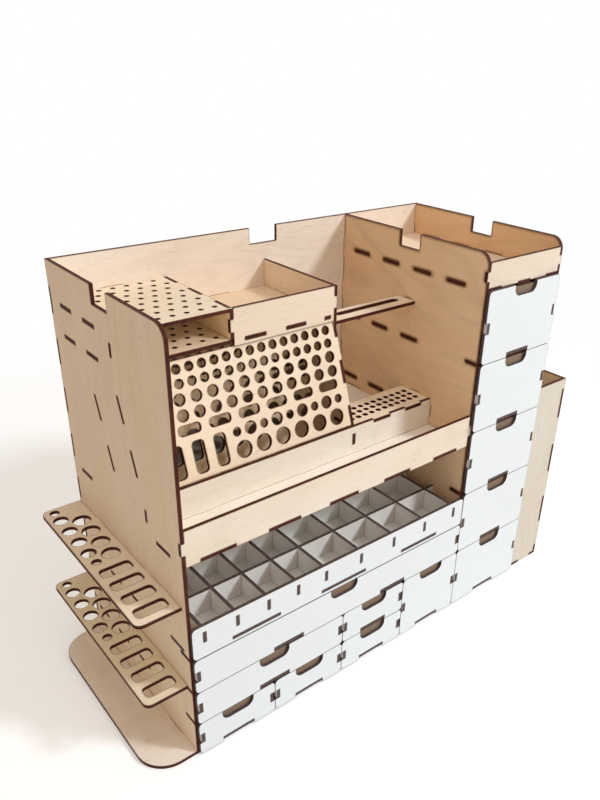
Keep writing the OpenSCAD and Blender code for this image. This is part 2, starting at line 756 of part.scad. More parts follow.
// Wall right of the sloped rack: its front edge follows the outer face of the front panel
module bay_wall() color(birch) side_board(bay_x) {
    difference() {
        polygon([[inner_d, tool_top], [inner_d, tray_z + tray_h], [tray_y, tray_z + tray_h],
            [tray_y, slope_height(tray_y)], [slope_front(riser_top), riser_top],
            [riser_y + ply, riser_top], [riser_y + ply, tool_top]]);
        rack_slots();
        on_slope() for (s = rack_tab_starts) area(-ply, 0, s - fit, s + tab_len + fit);
        slot(tray_y - cut_over, tray_y + ply, wall_lock_z, wall_lock_z + wall_lock_h);
        for (y = tray_starts) slot(y, y + tab_len, tray_z, tray_floor_top);
        slot(drill_side_y, drill_side_y + tab_len / 2, drill_z, riser_top);
        slot(tray_y + rail_tab_in, tray_y + rail_tab_in + tab_len / 2, rail_z - ply, rail_z);
    }
    area(riser_y, riser_y + ply, tool_top + riser_tab_up, tool_top + riser_tab_up + wall_lock_h);
    area(depth_starts[2], depth_starts[2] + tab_len, tool_floor_z, tool_top);
    for (k = [1, 4]) area(inner_d, case_d, tool_top + k * tab_len, tool_top + (k + 1) * tab_len);
}

module pliers_rail() color(birch) flat_board(rail_z - ply) difference() {
    union() {
        area(rack_w, divider_x, tray_y, tray_y + rail_d);
        area(bay_x, column_x, tray_y + rail_tab_in, tray_y + rail_tab_in + tab_len / 2);
    }
    oblong(rack_w + rail_slot_in, divider_x - rail_slot_in,
        tray_y + (rail_d + rail_slot) / 2 - half_ply, rail_slot);
}

// Staggered grid of stick holes, alike in the tray board and the stick plate
module stick_holes() {
    for (r = [0:stick_rows - 1], c = [0:stick_cols - 1 - r % 2])
        hole(stick_first_x + (c + (r % 2) / 2) * stick_pitch_x, stick_first_y + r * stick_pitch_y,
            stick_hole);
}

// Place along the tray's front wall, as a share of its width
function wall_tab_x(s) = stick_w + s * (bay_x - stick_w);

module tray_board() color(birch) flat_board(tray_z) difference() {
    union() {
        area(ply, stick_x, tray_y, inner_d);
        area(ply, bay_x, tray_y + ply, inner_d);
        for (y = tray_starts) area(0, rack_w, y, y + tab_len);
        for (s = wall_tab_shares) area(wall_tab_x(s[0]), wall_tab_x(s[1]), tray_y, tray_y + ply);
        for (x = spread(ply, bay_x, 2)) area(x, x + tab_len, inner_d, case_d);
    }
    stick_holes();
    slot(stick_x, stick_w, depth_starts[2], depth_starts[2] + tab_len);
}

module stick_plate() color(birch) flat_board(stick_z) {
    difference() {
        area(ply, stick_w, tray_y, inner_d);
        for (k = [0, 2, 4]) slot(stick_x, stick_w + cut_over, wall_tab_y(k), wall_tab_y(k) + tab_len);
        stick_holes();
    }
    for (y = tray_starts) area(0, ply, y, y + tab_len);
    for (x = spread(ply, stick_x, 1)) area(x, x + tab_len, inner_d, case_d);
}

function wall_tab_y(k) = min(wall_tab_first + k * tab_len, inner_d - tab_len);

module tray_side_wall() color(birch) side_board(stick_x) {
    difference() {
        area(tray_y, inner_d, tray_floor_top, stick_z);
        slot(tray_y - cut_over, tray_y + ply, wall_lock_z, wall_lock_z + wall_lock_h);
    }
    for (k = [0, 2, 4]) area(wall_tab_y(k), wall_tab_y(k) + tab_len, stick_z, stick_z + ply);
    area(depth_starts[2], depth_starts[2] + tab_len, tray_z, tray_floor_top);
}

module tray_front_wall() color(birch) cross_board(tray_y) difference() {
    union() {
        area(stick_w, bay_x, tray_z - tray_drop, tray_z + tray_h);
        area(stick_x, rack_w, wall_lock_z, wall_lock_z + wall_lock_h);
    }
    for (s = wall_tab_shares) slot(wall_tab_x(s[0]), wall_tab_x(s[1]), tray_z, tray_floor_top);
}

// Side shelf with tool slots in front and two rows of holes behind them
module side_shelf(top) color(birch) flat_board(top - ply) {
    difference() {
        rounded(-shelf_w, shelf_r, shelf_front, inner_d, shelf_r);
        area(0, shelf_r + cut_over, 0, case_d);
        for (n = [0:shelf_slots_n - 1]) oblong(-tool_slot_x - tool_slot_len, -tool_slot_x,
            first_tool_slot_y + n * tool_pitch, tool_slot_w);
        for (n = [0:3]) {
            hole(-outer_hole_in, first_outer_y + n * tool_pitch, outer_hole);
            hole(-inner_hole_in, first_inner_y + n * tool_pitch, inner_hole);
        }
        hole(-outer_hole_in, front_end_y, end_hole);
        hole(-inner_hole_in, rear_end_y, end_hole);
    }
    for (y = shelf_tab_ys) area(0, ply, y, y + shelf_tab_len);
}

module upper_side_shelf() side_shelf(upper_shelf_z);

module lower_side_shelf() side_shelf(lower_shelf_z);

// Corner tabs of the side holder
module holder_tabs(x0, x1) {
    area(x0, x1, ply, holder_tab_z - holder_tab_h);
    for (k = [0:2])
        area(x0, x1, holder_tab_z + 2 * k * holder_tab_h, holder_tab_z + (2 * k + 1) * holder_tab_h);
}

// Board across the side holder, used at its front and at its back
module holder_cross(y) color(birch) cross_board(y) {
    difference() {
        area(case_w, base_right, ply, holder_h);
        holder_tabs(base_right - ply - fit, base_right + cut_over);
    }
    for (z = holder_lock_z) area(right_x, case_w, z, z + holder_lock_h);
    area(holder_foot_x, holder_foot_x + tab_len, 0, ply);
}

module holder_front() holder_cross(0);

module holder_back() holder_cross(holder_d - ply);

module holder_side() color(birch) side_board(base_right - ply) {
    area(ply, holder_d - ply, ply, holder_h);
    for (y = [0, holder_d - ply]) holder_tabs(y, y + ply);
    area(tab_len, 2 * tab_len, 0, ply);
}

// Drawer box measures, from the seams that the drawer fills
function box_x0(d) = d[0] + half_ply + drawer_side_clear;
function box_x1(d) = d[1] - half_ply - drawer_side_clear;
function box_z0(d) = d[2] + half_ply + drawer_lift;
function box_z1(d) = d[3] - half_ply - drawer_top_clear;
function tab_z(d) = (d[2] + d[3] - side_tab_h) / 2;
// Lower edge of the tabs of a box's front wall
function lock_z(d) = (tab_z(d) + side_tab_h + box_z1(d)) / 2;
// A drawer wider than half the bank has two tabs on its bottom, the others have one
function box_tab_shares(d) = d[1] - d[0] > divider_x / 2 + ply ? pair_tab_shares : single_tab_shares;
function box_tab_xs(d) = [for (s = box_tab_shares(d)) d[0] + s * (d[1] - d[0]) - bottom_tab_w / 2];
box_y1 = inner_d - drawer_back_clear;
box_tab_d = (box_y1 + front_clear) / 7;
box_tab_ys = [for (k = [1:2:5]) -front_clear + k * box_tab_d];

// White front with its finger notch and the notches for the tabs of its box
module drawer_front(d) color(white_board) cross_board(front_y, front_t) difference() {
    mid = (d[0] + d[1]) / 2;
    low = d[2] + front_gap / 2;
    top = d[3] - front_gap / 2;
    rounded(d[0] + front_gap / 2, d[1] - front_gap / 2, low, top, front_r);
    rounded(mid - finger_w / 2, mid + finger_w / 2, top - finger_h, top + 2 * finger_r, finger_r);
    slot(d[0] - cut_over, box_x0(d) + ply, tab_z(d), tab_z(d) + side_tab_h);
    slot(box_x1(d) - ply, d[1] + cut_over, tab_z(d), tab_z(d) + side_tab_h);
    for (x = box_tab_xs(d)) slot(x, x + bottom_tab_w, low - cut_over, box_z0(d) + ply);
}

// Box behind a front: two sides, a bottom, a back and an inner front wall, finger-jointed
module drawer_box(d) color(drawer_brown) {
    for (x = [box_x0(d), box_x1(d) - ply]) side_board(x) {
        difference() {
            area(-front_clear, box_y1, box_z0(d), box_z1(d));
            for (y = box_tab_ys) slot(y, y + box_tab_d, box_z0(d) - cut_over, box_z0(d) + ply);
            slot(box_y1 - ply, box_y1 + cut_over, tab_z(d), tab_z(d) + side_tab_h);
            slot(-front_clear - cut_over, ply - front_clear, lock_z(d), box_z1(d) + cut_over);
        }
        area(front_y, -front_clear, tab_z(d), tab_z(d) + side_tab_h);
    }
    flat_board(box_z0(d)) {
        difference() {
            area(box_x0(d) + ply + fit, box_x1(d) - ply - fit, -front_clear, box_y1);
            slot(back_tab_x(d), back_tab_x(d) + tab_len, box_y1 - ply, box_y1 + cut_over);
        }
        for (y = box_tab_ys) area(box_x0(d), box_x1(d), y, y + box_tab_d);
        for (x = box_tab_xs(d)) area(x, x + bottom_tab_w, front_y, -front_clear);
    }
    cross_board(-front_clear) {
        area(box_x0(d) + ply + fit, box_x1(d) - ply - fit, box_z0(d) + ply + fit, box_z1(d));
        area(box_x0(d), box_x1(d), lock_z(d), box_z1(d));
    }
    cross_board(box_y1 - ply) {
        area(box_x0(d) + ply + fit, box_x1(d) - ply - fit, box_z0(d) + ply + fit, box_z1(d));
        area(box_x0(d), box_x1(d), tab_z(d), tab_z(d) + side_tab_h);
        area(back_tab_x(d), back_tab_x(d) + tab_len, box_z0(d), box_z1(d));
    }
}

function back_tab_x(d) = (d[0] + d[1] - tab_len) / 2;

base_plate();
left_panel();
divider_panel();
right_panel();
back_panel();
column_shelves();
top_tray_floor();
top_tray_front();
rack_shelf();
mid_shelf();
low_shelf_left();
low_shelf_centre();
small_partition();
tall_partitions();
bottle_front();
bottle_floor();
bottle_rails();
bottle_walls();
tool_floor();
tray_lip();
riser();
drill_plate();
rack_front_panel();
rack_rear_panel();
bay_wall();
pliers_rail();
tray_board();
stick_plate();
tray_side_wall();
tray_front_wall();
upper_side_shelf();
lower_side_shelf();
holder_front();
holder_back();
holder_side();
drawer_front(column_drawers[0]);  // column_drawer_1_front
drawer_box(column_drawers[0]);  // column_drawer_1_box
drawer_front(column_drawers[1]);  // column_drawer_2_front
drawer_box(column_drawers[1]);  // column_drawer_2_box
drawer_front(column_drawers[2]);  // column_drawer_3_front
drawer_box(column_drawers[2]);  // column_drawer_3_box
drawer_front(column_drawers[3]);  // column_drawer_4_front
drawer_box(column_drawers[3]);  // column_drawer_4_box
drawer_front(column_drawers[4]);  // column_drawer_5_front
drawer_box(column_drawers[4]);  // column_drawer_5_box
drawer_front(wide_drawer);  // wide_drawer_front
drawer_box(wide_drawer);  // wide_drawer_box
drawer_front(medium_drawer);  // medium_drawer_front
drawer_box(medium_drawer);  // medium_drawer_box
drawer_front(small_drawer_left);  // small_drawer_left_front
drawer_box(small_drawer_left);  // small_drawer_left_box
drawer_front(small_drawer_right);  // small_drawer_right_front
drawer_box(small_drawer_right);  // small_drawer_right_box
drawer_front(centre_drawer_upper);  // centre_drawer_upper_front
drawer_box(centre_drawer_upper);  // centre_drawer_upper_box
drawer_front(centre_drawer_lower);  // centre_drawer_lower_front
drawer_box(centre_drawer_lower);  // centre_drawer_lower_box
drawer_front(tall_drawer);  // tall_drawer_front
drawer_box(tall_drawer);  // tall_drawer_box
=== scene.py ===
"""Looks of a hobby workstation organizer made of laser-cut plywood and white-faced hardboard.

The boards are already in the frame at their real size. This file gives them their finishes, makes
the two side shelves, and sets up a plain stage with a camera, lamps and a floor.
"""
from functools import reduce
from math import radians

import bmesh
import bpy
from bpy.props import FloatProperty, FloatVectorProperty, PointerProperty
from mathutils import Euler, Matrix, Vector


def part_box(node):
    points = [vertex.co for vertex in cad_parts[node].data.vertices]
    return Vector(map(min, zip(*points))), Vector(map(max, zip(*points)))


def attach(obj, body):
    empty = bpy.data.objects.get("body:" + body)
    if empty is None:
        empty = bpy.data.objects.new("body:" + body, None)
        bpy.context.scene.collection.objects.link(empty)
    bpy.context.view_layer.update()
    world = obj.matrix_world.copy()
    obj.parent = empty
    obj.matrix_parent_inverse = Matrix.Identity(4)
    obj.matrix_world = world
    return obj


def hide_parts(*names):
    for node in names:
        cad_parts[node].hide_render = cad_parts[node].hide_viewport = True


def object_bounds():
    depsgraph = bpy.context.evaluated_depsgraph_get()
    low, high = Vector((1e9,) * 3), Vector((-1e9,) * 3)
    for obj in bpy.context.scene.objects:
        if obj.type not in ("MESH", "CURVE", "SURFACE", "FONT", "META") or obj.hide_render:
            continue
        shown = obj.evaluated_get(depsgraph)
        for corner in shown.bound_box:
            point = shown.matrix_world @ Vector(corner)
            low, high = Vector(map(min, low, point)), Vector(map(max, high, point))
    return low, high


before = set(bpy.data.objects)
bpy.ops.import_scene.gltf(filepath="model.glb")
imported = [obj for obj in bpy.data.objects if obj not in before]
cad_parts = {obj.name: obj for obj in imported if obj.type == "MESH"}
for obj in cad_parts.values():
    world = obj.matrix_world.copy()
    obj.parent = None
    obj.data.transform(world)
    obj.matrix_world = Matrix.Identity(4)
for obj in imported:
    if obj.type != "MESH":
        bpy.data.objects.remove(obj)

CAD_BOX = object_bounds()

bl_info = {
    "name": "Workstation Organizer Looks",
    "version": (1, 0, 0),
    "blender": (4, 5, 0),
    "location": "3D View > Sidebar > Organizer",
    "description": "Veneer, burnt edges and white fronts for a slotted-board workstation organizer",
    "category": "Material",
}

X, Y, Z = Vector((1, 0, 0)), Vector((0, 1, 0)), Vector((0, 0, 1))
WHITE = (1, 1, 1, 1)

# Least dot product at which a surface counts as facing a direction
FACING = 0.5

# Strength of a sheet's wavy figure, reach of the stain beside a cut as a share of the scorch width,
# bend of the bevelled normal (1 is flat) where the stain starts and where it is full, and the
# strengths of the stain and of the burnt rim. The rim has one bend on every sheet.
PLAIN_SHEET = {"figure": 0.045, "reach": 1.0, "bend": (0.985, 0.74), "stain": 0.50, "rim": 0.88}
WARM_SHEET = {"figure": 0.085, "reach": 2.6, "bend": (0.9999, 0.88), "stain": 0.75, "rim": 0.88}
WHITE_SHEET = {"reach": 0.5, "bend": (0.985, 0.74), "stain": 0.30, "rim": 0.85}
RIM_BEND = (0.97, 0.82)
BRIGHTEST_VENEER = 0.95

# Roughness of the veneer in its flecks and between them, and how closely its waves follow each other
VENEER_ROUGHNESS = (0.80, 0.68)
FIGURE_WAVES = 95.0

# How far the pattern moves on from one seed to the next: along and across the grain of plywood,
# and along each axis of hardboard
VENEER_STEP = (3.7, 1.9)
FILM_STEP = (2.3, 1.1, 0.7)

# Smoke round a slot: its least and greatest reach, how much shorter it is above and below the slot
# than at its ends, how fast it thins out, and its strength
SMOKE_REACH = (0.003, 0.008)
SMOKE_SQUEEZE = 2.6
SMOKE_FALLOFF = 1.6
SMOKE_STRENGTH = 0.85

# Painted light and shade: how much more or less red, green and blue one board's sheet returns than the
# common tone, set to the brightness and warmth of the light that falls on each board
PAINTED_LIGHT_TONES = {
    "base_plate": (1.03, 1.11, 1.26), "left_panel": (1.0, 0.98, 0.95),
    "right_panel": (0.98, 0.94, 0.90), "back_panel": (1.0, 1.06, 1.17),
    "top_tray_front": (0.93, 0.96, 1.0), "rack_rear_panel": (1.06, 0.98, 0.86),
    "tool_floor": (1.03, 1.16, 1.34), "tray_lip": (0.98, 1.03, 1.10), "riser": (1.03, 1.18, 1.38),
    "tray_board": (0.93, 0.87, 0.80), "stick_plate": (1.03, 1.05, 1.06),
    "tray_side_wall": (1.03, 1.0, 0.86), "tray_front_wall": (0.98, 1.0, 1.02),
    "upper_side_shelf": (1.03, 1.06, 1.08), "lower_side_shelf": (0.97, 1.02, 0.98),
    "holder_front": (0.82, 0.90, 1.0), "holder_side": (0.84, 0.89, 0.95),
    "holder_back": (0.84, 0.89, 0.95),
}

SLOPED_BOARDS = ("rack_front_panel", "rack_rear_panel")
COLUMN_SHELVES = 4

# Places along the left panel, from its front edge
SHELF_TABS = (0.024, 0.050, 0.098, 0.139)
SHELF_END_HOLES = (0.0934, 0.179)
FIRST_OUTER_HOLE = 0.108
FIRST_INNER_HOLE = 0.098

# Windows of a side shelf, and large holes in each of its two rows
SHELF_REPEATS = 4

# Place, width and colour of each lamp
LAMPS = {
    "key": (Vector((2.0, -2.55, 2.65)), 0.7, (0.86, 0.93, 1.0)),
    "top": (Vector((-0.2, -0.5, 2.2)), 1.2, (0.93, 0.97, 1.0)),
    "fill": (Vector((0.3, -2.2, 0.5)), 1.6, (0.80, 0.92, 1.0)),
}

# Gap between the base and the floor, and where the floor's fade starts, as a share of where it ends
FLOOR_DROP = 0.0003
FADE_START = 0.45


class WoodSettings(bpy.types.PropertyGroup):
    """Colours and scales of the plywood and of its burnt edges."""

    pale_veneer: FloatVectorProperty(
        name="Pale veneer", description="Light tone of the birch faces",
        default=(0.92, 0.765, 0.60), size=3, min=0, max=1, subtype="COLOR")
    deep_veneer: FloatVectorProperty(
        name="Deep veneer", description="Darker tone in the broad mottling of the birch faces",
        default=(0.88, 0.70, 0.52), size=3, min=0, max=1, subtype="COLOR")
    # Partly painted shade: the warm veneer is in part the two upright panels' own warmer tone and in part
    # painted warm bounce light of the shaded bay around them
    warm_shaded_pale: FloatVectorProperty(
        name="Warm pale veneer", description="Light tone of the warmer birch faces",
        default=(0.90, 0.66, 0.435), size=3, min=0, max=1, subtype="COLOR")
    warm_shaded_deep: FloatVectorProperty(
        name="Warm deep veneer", description="Darker tone of the warmer birch faces",
        default=(0.84, 0.575, 0.35), size=3, min=0, max=1, subtype="COLOR")
    speck: FloatVectorProperty(
        name="Speck", description="Small brown specks in the birch faces",
        default=(0.45, 0.28, 0.15), size=3, min=0, max=1, subtype="COLOR")
    char: FloatVectorProperty(
        name="Char", description="Darkest tone of an edge that the laser cut",
        default=(0.038, 0.008, 0.004), size=3, min=0, max=1, subtype="COLOR")
    toast: FloatVectorProperty(
        name="Toast", description="Lighter tone of an edge that the laser cut",
        default=(0.135, 0.031, 0.015), size=3, min=0, max=1, subtype="COLOR")
    rim: FloatVectorProperty(
        name="Rim", description="Thin burnt line on a face right at a cut",
        default=(0.11, 0.040, 0.018), size=3, min=0, max=1, subtype="COLOR")
    scorch: FloatVectorProperty(
        name="Scorch", description="Stain that smoke leaves on a face beside a cut",
        default=(0.42, 0.23, 0.11), size=3, min=0, max=1, subtype="COLOR")
    smoke: FloatVectorProperty(
        name="Smoke", description="Brown smoke stain round the slots of the warm panels",
        default=(0.20, 0.085, 0.030), size=3, min=0, max=1, subtype="COLOR")
    ply: FloatProperty(
        name="Board thickness", description="Thickness of a plywood board",
        default=0.003, min=0.002, max=0.006, unit="LENGTH", subtype="DISTANCE")
    scorch_width: FloatProperty(
        name="Scorch width", description="Reach of the smoke stain beside a cut",
        default=0.0020, min=0, max=0.006, unit="LENGTH", subtype="DISTANCE")
    slot_length: FloatProperty(
        name="Slot length", description="Length of a slot, and of the wood between two slots",
        default=0.02033, min=0.005, max=0.05, unit="LENGTH", subtype="DISTANCE")
    top_slot: FloatProperty(
        name="Top slot", description="Place of the middle of the front slot in a panel's top row",
        default=0.0335, min=0, max=0.1, unit="LENGTH", subtype="DISTANCE")
    lower_slot: FloatProperty(
        name="Lower slot", description="Place of the middle of the front slot in the rows below",
        default=0.0847, min=0, max=0.1, unit="LENGTH", subtype="DISTANCE")
    top_row: FloatProperty(
        name="Top row", description="Height of the top row of slots above a panel's foot",
        default=0.3355, min=0, max=0.5, unit="LENGTH", subtype="DISTANCE")
    row_pitch: FloatProperty(
        name="Row pitch", description="Height between two rows of slots",
        default=0.0668, min=0.02, max=0.1, unit="LENGTH", subtype="DISTANCE")
    lowest_smoke: FloatProperty(
        name="Lowest smoke", description="Height above which the slots have their smoke",
        default=0.185, min=0, max=0.4, unit="LENGTH", subtype="DISTANCE")
    rack_tilt: FloatProperty(
        name="Rack tilt", description="Tilt of the sloped rack from upright",
        default=radians(19), min=0, max=radians(60), unit="ROTATION", subtype="ANGLE")


class FrontSettings(bpy.types.PropertyGroup):
    """Colours of the white-faced hardboard of the fronts, the drawers and the bottle rack."""

    white: FloatVectorProperty(
        name="White face", description="Satin face of the fronts",
        default=(0.828, 0.855, 0.872), size=3, min=0, max=1, subtype="COLOR")
    # Painted shade: this warmer white stands in for the warm shade inside the rack's cells
    shaded_inner_white: FloatVectorProperty(
        name="Inner white", description="Warmer white of the boards inside the bottle rack",
        default=(0.87, 0.835, 0.80), size=3, min=0, max=1, subtype="COLOR")
    brown: FloatVectorProperty(
        name="Brown face", description="Bare rear face of the hardboard",
        default=(0.31, 0.215, 0.145), size=3, min=0, max=1, subtype="COLOR")
    cut: FloatVectorProperty(
        name="Cut edge", description="Edge of the hardboard that the laser cut",
        default=(0.060, 0.042, 0.040), size=3, min=0, max=1, subtype="COLOR")
    cut_light: FloatVectorProperty(
        name="Light cut edge", description="Lighter streaks on that edge",
        default=(0.135, 0.092, 0.080), size=3, min=0, max=1, subtype="COLOR")
    satin: FloatProperty(
        name="Satin roughness", description="Roughness of the satin white face",
        default=0.42, min=0, max=1, subtype="FACTOR")
    bare: FloatProperty(
        name="Bare roughness", description="Roughness of the brown face and of the cut edges",
        default=0.85, min=0, max=1, subtype="FACTOR")
    finger_share: FloatProperty(
        name="Finger share", description="Length of a finger of a drawer, as a share of the drawer's depth",
        default=1 / 7, min=0.05, max=0.5, subtype="FACTOR")


class ShelfSettings(bpy.types.PropertyGroup):
    """Outline and openings of the two side shelves, measured from the left panel and its front edge."""

    reach: FloatProperty(
        name="Reach", description="Distance from the left panel to a shelf's outer edge",
        default=0.036, min=0.02, max=0.06, unit="LENGTH", subtype="DISTANCE")
    front_gap: FloatProperty(
        name="Front gap", description="Distance from the panel's front edge to a shelf",
        default=0.006, min=0, max=0.02, unit="LENGTH", subtype="DISTANCE")
    corner: FloatProperty(
        name="Corner radius", description="Radius of a shelf's outer corners",
        default=0.006, min=0.001, max=0.012, unit="LENGTH", subtype="DISTANCE")
    tab_length: FloatProperty(
        name="Tab length", description="Length of the tabs in the left panel's slots",
        default=0.014, min=0.005, max=0.02, unit="LENGTH", subtype="DISTANCE")
    window_gap: FloatProperty(
        name="Window gap", description="Distance from the left panel to the windows",
        default=0.0052, min=0.003, max=0.01, unit="LENGTH", subtype="DISTANCE")
    window_length: FloatProperty(
        name="Window length", description="Length of a window across a shelf",
        default=0.0256, min=0.015, max=0.028, unit="LENGTH", subtype="DISTANCE")
    window_depth: FloatProperty(
        name="Window depth", description="Size of a window along a shelf",
        default=0.0118, min=0.006, max=0.015, unit="LENGTH", subtype="DISTANCE")
    window_corner: FloatProperty(
        name="Window corner", description="Radius of a window's corners",
        default=0.0036, min=0.001, max=0.005, unit="LENGTH", subtype="DISTANCE")
    first_window: FloatProperty(
        name="First window", description="Place of the front window's front edge",
        default=0.0132, min=0.01, max=0.02, unit="LENGTH", subtype="DISTANCE")
    pitch: FloatProperty(
        name="Pitch", description="Spacing of the windows and of the holes",
        default=0.019, min=0.016, max=0.0195, unit="LENGTH", subtype="DISTANCE")
    outer_row: FloatProperty(
        name="Outer row", description="Distance from the left panel to the outer row of holes",
        default=0.0265, min=0.02, max=0.03, unit="LENGTH", subtype="DISTANCE")
    inner_row: FloatProperty(
        name="Inner row", description="Distance from the left panel to the inner row of holes",
        default=0.0122, min=0.009, max=0.014, unit="LENGTH", subtype="DISTANCE")
    outer_hole: FloatProperty(
        name="Outer hole", description="Diameter of the holes in the outer row",
        default=0.0122, min=0.006, max=0.014, unit="LENGTH", subtype="DISTANCE")
    inner_hole: FloatProperty(
        name="Inner hole", description="Diameter of the holes in the inner row",
        default=0.015, min=0.008, max=0.016, unit="LENGTH", subtype="DISTANCE")
    end_hole: FloatProperty(
        name="End hole", description="Diameter of the small holes at both ends of the outer row",
        default=0.0078, min=0.004, max=0.01, unit="LENGTH", subtype="DISTANCE")


class StageSettings(bpy.types.PropertyGroup):
    """Camera, lamps and floor."""

    camera_place: FloatVectorProperty(
        name="Camera place", description="Where the camera stands",
        default=(-0.39526, -0.47427, 0.52037), size=3, unit="LENGTH", subtype="TRANSLATION")
    camera_turn: FloatVectorProperty(
        name="Camera turn", description="How the camera is turned",
        default=(radians(62.54217), radians(-1.26272), radians(-39.11835)),
        size=3, unit="ROTATION", subtype="EULER")
    camera_lens: FloatProperty(
        name="Focal length", description="Focal length of the camera in millimetres",
        default=33.677, min=10, max=200, unit="CAMERA")
    camera_shift: FloatVectorProperty(
        name="Camera shift", description="Shift of the lens, as a share of the picture",
        default=(-0.03026, 0.03358), size=2)
    key_power: FloatProperty(
        name="Key light", description="Power of the main lamp, in front, above and to the right",
        default=94, min=0, subtype="POWER")
    fill_power: FloatProperty(
        name="Fill light", description="Power of the wide low lamp in front",
        default=2.5, min=0, subtype="POWER")
    top_power: FloatProperty(
        name="Top light", description="Power of the soft lamp overhead",
        default=6.5, min=0, subtype="POWER")
    sky: FloatVectorProperty(
        name="Room light", description="Colour and level of the light from all sides",
        default=(0.475, 0.41, 0.34), size=3, min=0, max=2, subtype="COLOR")
    floor_colour: FloatVectorProperty(
        name="Floor", description="Colour of the floor",
        default=(0.90, 0.90, 0.90), size=3, min=0, max=1, subtype="COLOR")
    floor_lift: FloatProperty(
        name="Floor lift", description="How much paler the floor looks in the picture than it is",
        default=0.30, min=0, max=1, subtype="FACTOR")
    floor_size: FloatProperty(
        name="Floor size", description="Length of each side of the floor",
        default=12, min=2, max=40, unit="LENGTH", subtype="DISTANCE")
    floor_clear: FloatProperty(
        name="Floor fade", description="Distance from the middle at which the floor has faded to white",
        default=0.95, min=0.5, max=6, unit="LENGTH", subtype="DISTANCE")


class Tree:
    """Writes the node tree of a material or of the world."""

    def __init__(self, owner):
        owner.use_nodes = True
        self.owner = owner
        self.nodes = owner.node_tree.nodes
        self.links = owner.node_tree.links
        self.nodes.clear()
        self.sources = {}

    def add(self, kind, inputs=(), **settings):
        """Adds a node. A value in inputs is a socket to link, or a constant to set."""
        node = self.nodes.new("ShaderNode" + kind)
        for key, value in settings.items():
            setattr(node, key, value)
        for key, value in dict(inputs).items():
            if isinstance(value, bpy.types.NodeSocket):
                self.links.new(value, node.inputs[key])
            else:
                node.inputs[key].default_value = value
        return node

    def source(self, kind, output):
        """Output of an input node, which is added once."""
        if kind not in self.sources:
            self.sources[kind] = self.add(kind)
        return self.sources[kind].outputs[output]

    @property
    def place(self):
        """Place in the object's own coordinates."""
        return self.source("TexCoord", "Object")

    def math(self, operation, first, second=0.0, third=0.0):
        return self.add("Math", {0: first, 1: second, 2: third}, operation=operation).outputs[0]

    def times(self, *values):
        return reduce(lambda first, second: self.math("MULTIPLY", first, second), values)

    def largest(self, *values):
        return reduce(lambda first, second: self.math("MAXIMUM", first, second), values)

    def minus(self, first, second):
        return self.math("SUBTRACT", first, second)

    def over(self, value, limit):
        return self.math("GREATER_THAN", value, limit)

    def under(self, value, limit):
        return self.math("LESS_THAN", value, limit)

    def absolute(self, value):
        return self.math("ABSOLUTE", value)

    def vector(self, operation, first, second=(0, 0, 0)):
        node = self.add("VectorMath", {0: first, 1: second}, operation=operation)
        return node.outputs["Value" if operation in ("DOT_PRODUCT", "LENGTH") else "Vector"]

    def split(self, place):
        """The three parts of a place, by the name of their axis."""
        return self.add("SeparateXYZ", {0: place}).outputs

    def noise(self, place, scale, detail=2.0, roughness=0.5, distortion=0.0):
        node = self.add("TexNoise", {"Vector": place, "Scale": scale, "Detail": detail,
                                     "Roughness": roughness, "Distortion": distortion})
        return node.outputs[0]

    def span(self, value, low, high, start=0.0, end=1.0, smooth=False):
        """Value between low and high, mapped to start and end and held there."""
        node = self.add("MapRange", {"Value": value, "From Min": low, "From Max": high,
                                     "To Min": start, "To Max": end},
                        interpolation_type="SMOOTHSTEP" if smooth else "LINEAR")
        return node.outputs["Result"]

    def mix(self, share, first, second):
        """Colour between two colours."""
        node = self.add("Mix", {0: share}, data_type="RGBA")
        for index, value in ((6, first), (7, second)):
            if isinstance(value, bpy.types.NodeSocket):
                self.links.new(value, node.inputs[index])
            else:
                node.inputs[index].default_value = (*value, 1)
        return node.outputs[2]

    def blend(self, share, first, second):
        """Number between two numbers."""
        return self.add("Mix", {0: share, 2: first, 3: second}).outputs[0]

    def darken(self, colour, share, amount):
        """Colour, made darker by amount where share is 1."""
        left = self.minus(1.0, self.times(share, amount))
        grey = self.add("CombineXYZ", {0: left, 1: left, 2: left})
        return self.vector("MULTIPLY", colour, grey.outputs[0])

    def facing(self, direction):
        """Dot product of the surface's own normal with a direction."""
        return self.vector("DOT_PRODUCT", self.source("TexCoord", "Normal"), direction)

    def faces(self, direction):
        """1 where the surface faces a direction."""
        return self.over(self.facing(direction), FACING)

    def both_faces(self, normal):
        """1 on the two faces of a board with this normal, and 0 on its edges."""
        return self.over(self.absolute(self.facing(normal)), FACING)

    def board_place(self, normal, grain, offset):
        """Place on a board, with its grain turned to X and its thickness to Z."""
        rows = Matrix((grain, normal.cross(grain), normal))
        node = self.add("Mapping", {"Vector": self.place, "Location": offset,
                                    "Rotation": rows.to_euler("XYZ")})
        return node.outputs[0]

    def seeded_place(self, seed):
        """Place in a pattern of its own for each seed."""
        offset = [step * seed for step in FILM_STEP]
        return self.add("Mapping", {"Vector": self.place, "Location": offset}).outputs[0]

    def near_cut(self, sheet, place):
        """Shares of smoke stain and of burnt rim on a face, the first uneven along the cut."""
        width = bpy.context.scene.organizer_wood.scorch_width * sheet["reach"]
        bevel = self.add("Bevel", {"Radius": width}, samples=8).outputs[0]
        bend = self.vector("DOT_PRODUCT", bevel, self.source("NewGeometry", "Normal"))
        patchy = self.span(self.noise(place, scale=95), 0.32, 0.72, 0.25, 1.0)
        stain = self.times(self.span(bend, *sheet["bend"]), patchy, sheet["stain"])
        return stain, self.times(self.span(bend, *RIM_BEND), sheet["rim"])

    def backdrop_rays(self):
        """1 for rays that show the backdrop itself: camera, mirror and glass rays."""
        return self.largest(*(self.source("LightPath", f"Is {ray} Ray")
                              for ray in ("Camera", "Glossy", "Transmission")))

